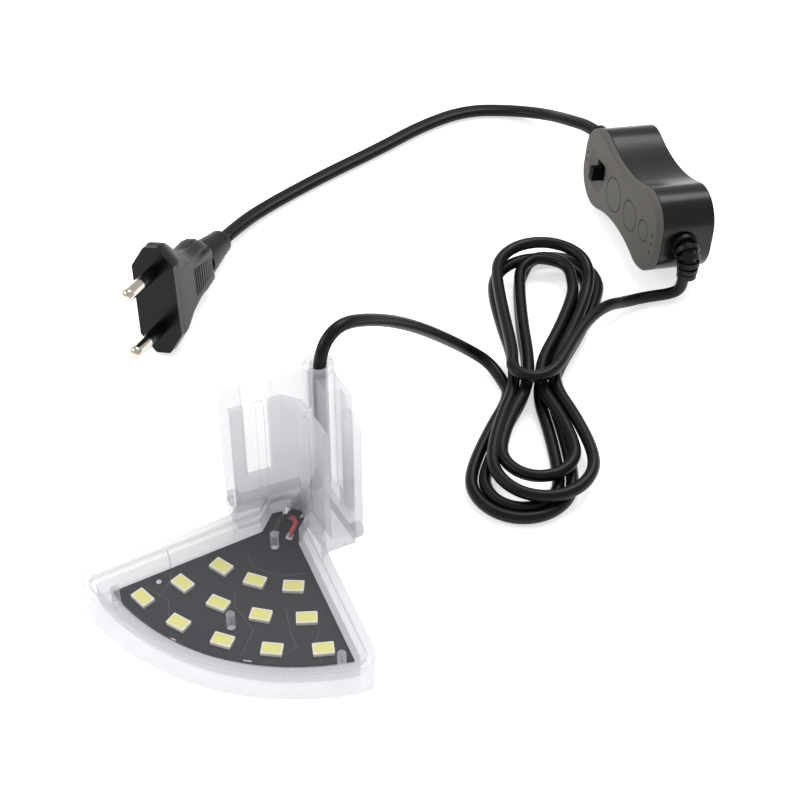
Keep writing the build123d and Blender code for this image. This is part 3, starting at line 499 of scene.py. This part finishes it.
    def clear(self, name: str, finish: ClearFinish) -> bpy.types.Material:
        """Makes a see-through material.

        Args:
            name: Name of the material.
            finish: Its finish.

        Returns:
            The material.
        """
        material = bpy.data.materials.new(name)
        material.use_nodes = True
        nodes, link = material.node_tree.nodes, material.node_tree.links.new
        bsdf = nodes["Principled BSDF"]
        bsdf.inputs["Base Color"].default_value = (*finish.color, 1.0)
        bsdf.inputs["Roughness"].default_value = finish.roughness
        bsdf.inputs["IOR"].default_value = CLEAR_IOR
        haze = nodes.new("ShaderNodeGroup")
        haze.node_tree = self.haze
        haze.inputs["Face"].default_value = finish.face
        haze.inputs["Rim"].default_value = finish.rim
        facing = nodes.new("ShaderNodeLayerWeight")
        facing.inputs["Blend"].default_value = finish.falloff
        link(facing.outputs["Facing"], haze.inputs["Facing"])
        link(haze.outputs["Opacity"], bsdf.inputs["Alpha"])
        link(haze.outputs["Normal"], bsdf.inputs["Normal"])
        material.diffuse_color = (*finish.color, 0.4)
        return material


class Cords:
    """The free cords: the lamp's cord with its tied hank, and the flat mains cord."""

    def __init__(self, jacket: bpy.types.Material) -> None:
        """Keeps the jacket's material.

        Args:
            jacket: Material of both cords.
        """
        self.jacket = jacket

    @staticmethod
    def _line(name: str, points: list[Point]) -> bpy.types.Object:
        """Makes an open NURBS curve through a route.

        Args:
            name: Name of the object.
            points: Control points in mm.

        Returns:
            The curve object.
        """
        curve = bpy.data.curves.new(name, "CURVE")
        curve.dimensions = "3D"
        spline = curve.splines.new("NURBS")
        spline.points.add(len(points) - 1)
        for control, (x, y, z) in zip(spline.points, points):
            control.co = (x * MM, y * MM, z * MM, 1.0)
        spline.order_u = 3
        spline.use_endpoint_u = True
        spline.resolution_u = 6
        made = bpy.data.objects.new(name, curve)
        bpy.context.collection.objects.link(made)
        return made

    @staticmethod
    def _lobe_points(lobe: Lobe, side: int, turn: Turn, moves: bool) -> list[Point]:
        """The points of one turn round one lobe of the hank.

        Args:
            lobe: The lobe.
            side: 1 to go round it with the outer side on the left first, -1 the other way.
            turn: The turn.
            moves: True where the turn changes its place on the way round.

        Returns:
            Points in mm, from waist to waist.
        """
        away = Vector((lobe.tip[0] - WAIST[0], lobe.tip[1] - WAIST[1]))
        reach = away.length - turn.drift[moves]
        swing = radians(turn.swing[moves])
        east, north = away.normalized()
        ahead = Vector((east * cos(swing) - north * sin(swing), east * sin(swing) + north * cos(swing)))
        across = Vector((-ahead.y, ahead.x)) * side

        def spot(along: float, lateral: float, height: float) -> Point:
            """A point this far ahead of the waist, to the side and up, in mm."""
            x = WAIST[0] + ahead.x * along + across.x * lateral
            y = WAIST[1] + ahead.y * along + across.y * lateral
            return (x, y, height)

        def state(step: float) -> tuple[float, float]:
            """The turn's inset and height at this point of the lobe's arc, in mm."""
            share = min(max(step - turn.change + 0.5, 0.0), 1.0) if moves else 0.0
            share = share * share * (3 - 2 * share)
            inset = turn.inset[0] + (turn.inset[1] - turn.inset[0]) * share
            height = turn.height[0] + (turn.height[1] - turn.height[0]) * share
            return inset, height

        inset, height = state(-2)
        start_angle = radians(ARC_ANGLES[-1])
        foot = reach - lobe.radius + (lobe.radius - inset) * cos(start_angle)
        wide = (lobe.radius - inset) * sin(start_angle)
        lateral = (WAIST_HALF - inset) * (1 - FOOT_SHARE) + wide * FOOT_SHARE
        points = [spot(WAIST_REACH, WAIST_HALF - inset, height), spot(foot * FOOT_SHARE, lateral, height)]
        for step, angle in enumerate(map(radians, ARC_ANGLES)):
            inset, height = state(step)
            radius = lobe.radius - inset
            points.append(spot(reach - lobe.radius + radius * cos(angle), -radius * sin(angle), height))
        inset, height = state(len(ARC_ANGLES) + 1)
        wide = (lobe.radius - inset) * sin(start_angle)
        lateral = (WAIST_HALF - inset) * (1 - FOOT_SHARE) + wide * FOOT_SHARE
        points.append(spot(foot * FOOT_SHARE, -lateral, height))
        points.append(spot(WAIST_REACH, inset - WAIST_HALF, height))
        return points

    def lamp_cord(self) -> bpy.types.Object:
        """Makes the lamp's cord from the clip through the hank to the driver.

        Returns:
            The cord.
        """
        route = list(LAMP_START)
        for number, turn in enumerate(TURNS):
            route += self._lobe_points(NEAR_LOBE, -1, turn, False)
            far = self._lobe_points(FAR_LOBE, -1, turn, True)
            route += far[:-1] if number == len(TURNS) - 1 else far
        route += LAMP_END
        cord = self._line("free_lamp_cord", route)
        cord.data.bevel_depth = CORD / 2 * MM
        cord.data.bevel_resolution = 4
        cord.data.materials.append(self.jacket)
        return cord

    def mains_cord(self) -> tuple[bpy.types.Object, list[Point]]:
        """Makes the flat mains cord from the driver to the plug.

        Returns:
            The cord and the points of its centre-line.
        """
        guide = self._line("mains_guide", list(MAINS_LINE))
        flat = bpy.data.meshes.new_from_object(guide)
        line = [Vector(v.co) for v in flat.vertices]
        bpy.data.objects.remove(guide)
        bpy.data.meshes.remove(flat)
        half_flat = (MAINS_WIDTH - MAINS_THICKNESS) / 2 * MM
        radius = MAINS_THICKNESS / 2 * MM
        section = [
            (half_flat * (1 if cos(a) > 0 else -1) + radius * cos(a), radius * sin(a))
            for a in ((n + 0.5) * 2 * pi / SECTION_POINTS for n in range(SECTION_POINTS))
        ]
        verts, faces = [], []
        for n, point in enumerate(line):
            ahead = (line[min(n + 1, len(line) - 1)] - line[max(n - 1, 0)]).normalized()
            wide = ahead.cross(Vector((0, 0, 1))).normalized()
            rise = wide.cross(ahead)
            verts += [tuple(point + wide * x + rise * y) for x, y in section]
        ring = len(section)
        for n in range(len(line) - 1):
            for k in range(ring):
                a, b = n * ring + k, n * ring + (k + 1) % ring
                faces.append((a, a + ring, b + ring, b))
        faces.append(tuple(range(ring)))
        faces.append(tuple(reversed(range(len(verts) - ring, len(verts)))))
        cord = new_mesh("free_mains_cord", verts, faces, self.jacket, smooth=True)
        return cord, [tuple(p) for p in line]


def new_mesh(
    name: str,
    verts: list[Point],
    faces: list[tuple[int, ...]],
    material: bpy.types.Material,
    smooth: bool = False,
) -> bpy.types.Object:
    """Makes a mesh object from points in metres.

    Args:
        name: Name of the object.
        verts: Its points.
        faces: Its faces.
        material: Its material.
        smooth: True for smooth shading.

    Returns:
        The object.
    """
    mesh = bpy.data.meshes.new(name)
    mesh.from_pydata(verts, [], faces)
    mesh.validate()
    if smooth:
        for polygon in mesh.polygons:
            polygon.use_smooth = True
    mesh.materials.append(material)
    made = bpy.data.objects.new(name, mesh)
    bpy.context.collection.objects.link(made)
    return made


class BoardPrint:
    """The faint copper outlines and the pale marks on the circuit board."""

    def __init__(self, trace: bpy.types.Material, mark: bpy.types.Material) -> None:
        """Keeps the two materials.

        Args:
            trace: Material of the copper outlines under the mask.
            mark: Material of the pale marks.
        """
        self.trace = trace
        self.mark = mark

    @staticmethod
    def _at(along: float, across: float) -> Point:
        """A point on the board.

        Args:
            along: Distance from the middle of the diode rows, in mm.
            across: Distance to the right, in mm.

        Returns:
            The point in metres.
        """
        return (across * MM, (ARC_CENTRE_Y - along) * MM, (BOARD_TOP + PRINT_RISE) * MM)

    def traces(self) -> bpy.types.Object:
        """Makes the outlines as narrow flat strips.

        Returns:
            The strips.
        """
        verts, faces = [], []
        for path in TRACES:
            for start, end in zip(path, path[1:]):
                a, b = Vector(self._at(*start)), Vector(self._at(*end))
                side = (b - a).cross(Vector((0, 0, 1))).normalized() * TRACE_HALF_WIDTH * MM
                first = len(verts)
                verts += [tuple(p) for p in (a - side, b - side, b + side, a + side)]
                faces.append((first, first + 1, first + 2, first + 3))
        return new_mesh("board_traces", verts, faces, self.trace)

    def marks(self) -> bpy.types.Object:
        """Makes the pale marks as flat patches.

        Returns:
            The patches.
        """
        verts, faces = [], []
        for along, across, long, wide in MARKS:
            radius = (along**2 + across**2) ** 0.5
            c, s = along / radius, across / radius
            first = len(verts)
            count = 12 if long == wide else 4
            for n in range(count):
                turn = 2 * pi * (n + 0.5) / count
                if count == 4:
                    u = (0.5 if sin(turn) > 0 else -0.5) * wide
                    v = (0.5 if cos(turn) > 0 else -0.5) * long
                else:
                    u, v = cos(turn) * wide / 2, sin(turn) * long / 2
                verts.append(self._at(along * 0.995 + u * c - v * s, across * 0.995 + u * s + v * c))
            faces.append(tuple(range(first, first + count)))
        return new_mesh("board_marks", verts, faces, self.mark)


class PlugGrip:
    """The raised ribs on the two flat sides of the plug."""

    def __init__(self, material: bpy.types.Material) -> None:
        """Works out the plug's own directions.

        Args:
            material: Material of the ribs.
        """
        self.material = material
        self.ahead = Vector((cos(PLUG_YAW) * cos(PLUG_TILT), sin(PLUG_YAW) * cos(PLUG_TILT), sin(PLUG_TILT)))
        level = self.ahead.cross(Vector((0, 0, 1))).normalized()
        self.pair = level.cross(self.ahead) * cos(PLUG_LEAN) + level * sin(PLUG_LEAN)
        self.side = self.ahead.cross(self.pair)

    @staticmethod
    def _half(behind: float) -> float:
        """Half the plug's thickness.

        Args:
            behind: Distance behind its face, in mm.

        Returns:
            Half its thickness there, in mm.
        """
        front, middle, back = PLUG_HALVES
        start, end = (middle, back) if behind > middle[0] else (front, middle)
        return start[1] + (end[1] - start[1]) * (behind - start[0]) / (end[0] - start[0])

    def build(self) -> bpy.types.Object:
        """Makes the ribs of both sides as one object.

        Returns:
            The ribs.
        """
        verts, faces = [], []
        for face in (-1, 1):
            for number in range(GRIP_COUNT):
                behind = GRIP_START + number * GRIP_STEP
                length = GRIP_LENGTH - number * GRIP_SHORTER
                first = len(verts)
                for rise, shrink in ((GRIP_SINK, 0.0), (GRIP_RISE, GRIP_BEVEL)):
                    for u, v in ((-1, -1), (1, -1), (1, 1), (-1, 1)):
                        spot = (
                            PLUG_CENTRE
                            - self.ahead * (behind + u * (GRIP_WIDTH / 2 - shrink / 2))
                            + self.pair * (v * (length / 2 - shrink))
                            + self.side * (face * (self._half(behind) + rise))
                        )
                        verts.append(tuple(spot * MM))
                faces.append((first + 4, first + 5, first + 6, first + 7))
                faces.append((first + 3, first + 2, first + 1, first))
                for k in range(4):
                    a, b = first + k, first + (k + 1) % 4
                    faces.append((a, b, b + 4, a + 4))
        return new_mesh("plug_grip_ribs", verts, faces, self.material)


def look(place: Point, target: Point) -> Euler:
    """The turn that points a camera or a light at something.

    Args:
        place: Where it is, in metres.
        target: What it points at.

    Returns:
        Its rotation.
    """
    return (Vector(target) - Vector(place)).to_track_quat("-Z", "Y").to_euler()


class Stage:
    """The table top, the soft lights and the camera."""

    def floor(self) -> None:
        """Makes the white table top."""
        material = bpy.data.materials.new("table_white")
        material.use_nodes = True
        bsdf = material.node_tree.nodes["Principled BSDF"]
        bsdf.inputs["Base Color"].default_value = (0.93, 0.93, 0.93, 1.0)
        bsdf.inputs["Roughness"].default_value = 0.8
        bsdf.inputs["Specular IOR Level"].default_value = 0.1
        bsdf.inputs["Emission Color"].default_value = WHITE
        bsdf.inputs["Emission Strength"].default_value = TABLE_GLOW
        corners = [
            (x * TABLE_HALF, y * TABLE_HALF, TABLE_HEIGHT) for x, y in ((-1, -1), (1, -1), (1, 1), (-1, 1))
        ]
        table = new_mesh("table_top", corners, [(0, 1, 2, 3)], material)
        table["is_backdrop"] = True

    @staticmethod
    def _area(name: str, place: Point, size: float, watts: float) -> None:
        """Adds a soft square light that points at the lamp.

        Args:
            name: Name of the light.
            place: Where it is, in metres.
            size: Side of the square, in metres.
            watts: Its power.
        """
        data = bpy.data.lights.new(name, "AREA")
        data.size = size
        data.energy = watts
        lamp = bpy.data.objects.new(name, data)
        lamp.location = place
        lamp.rotation_euler = look(place, LIGHT_TARGET)
        bpy.context.collection.objects.link(lamp)

    def lights(self) -> None:
        """Makes an even white surround and two soft lights, above behind the lamp and to its left."""
        world = bpy.data.worlds.new("white_surround")
        world.use_nodes = True
        background = world.node_tree.nodes["Background"]
        background.inputs["Color"].default_value = WHITE
        background.inputs["Strength"].default_value = SURROUND_STRENGTH
        bpy.context.scene.world = world
        self._area("light_above", (0.10, 0.60, 0.90), 0.6, 6.0)
        self._area("light_left", (-0.75, -0.25, 0.6), 0.5, 3.0)

    def camera(self) -> None:
        """Places the camera."""
        data = bpy.data.cameras.new("camera")
        data.lens = LENS
        data.sensor_width = SENSOR
        data.clip_start, data.clip_end = CLIP_NEAR, CLIP_FAR
        camera = bpy.data.objects.new("camera", data)
        camera.location = CAMERA_PLACE
        camera.rotation_euler = look(CAMERA_PLACE, CAMERA_TARGET)
        bpy.context.collection.objects.link(camera)
        bpy.context.scene.camera = camera
        bpy.context.scene.view_settings.view_transform = "Standard"


class AquariumLight:
    """Dresses the CAD pieces and adds the pieces made here."""

    def __init__(self) -> None:
        """Loads the frame and makes the opaque materials."""
        self.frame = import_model()
        self.cad_box = self._box()
        self.shaders = Shaders()
        self.materials = {slot: self.shaders.solid(slot.value, finish) for slot, finish in FINISHES.items()}

    @staticmethod
    def _box() -> list[list[float]]:
        """The box of what shows.

        Returns:
            Its lowest and highest corner, in metres.
        """
        return [[round(x, 5) for x in corner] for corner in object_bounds()]

    def dress(self) -> None:
        """Gives every CAD node its finish."""
        for slot, names in NODE_SLOTS.items():
            for name in names:
                self._paint(name, self.materials[slot])
        clear = self.shaders.clear("clear_plastic", CLEAR_FINISH)
        for name in ("head_tray", "front_jaw", "rear_jaw"):
            self._paint(name, clear)
        self._paint("head_cover", self.shaders.clear("clear_cover", COVER_FINISH))

    def _paint(self, name: str, material: bpy.types.Material) -> None:
        """Replaces a CAD node's materials by one.

        Args:
            name: The node.
            material: Its material.
        """
        mesh = self.frame["nodes"][name].data
        mesh.materials.clear()
        mesh.materials.append(material)

    def add_cords(self) -> None:
        """Makes the free cords, hangs them on the root body and hides the CAD cords."""
        cords = Cords(self.materials[Slot.JACKET])
        lamp = cords.lamp_cord()
        mains, line = cords.mains_cord()
        for cord in (lamp, mains):
            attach(cord, "root")
        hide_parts("lamp_cord", "lamp_cord_hank", "lamp_cord_lead")
        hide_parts("mains_cord")

    def add_details(self) -> None:
        """Makes the board's print and the plug's ribs."""
        copper = self.shaders.solid("board_copper", TRACE_FINISH)
        marking = self.shaders.solid("board_marking", MARK_FINISH)
        printed = BoardPrint(copper, marking)
        for piece in (printed.traces(), printed.marks()):
            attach(piece, "root")
        ribs = PlugGrip(self.materials[Slot.PLUG]).build()
        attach(ribs, "root")


def main() -> None:
    """Builds the scene."""
    logging.basicConfig(level=logging.INFO)
    light = AquariumLight()
    stage = Stage()
    stage.camera()
    light.dress()
    light.add_details()
    light.add_cords()
    stage.floor()
    stage.lights()


if __name__ == "__main__":
    main()
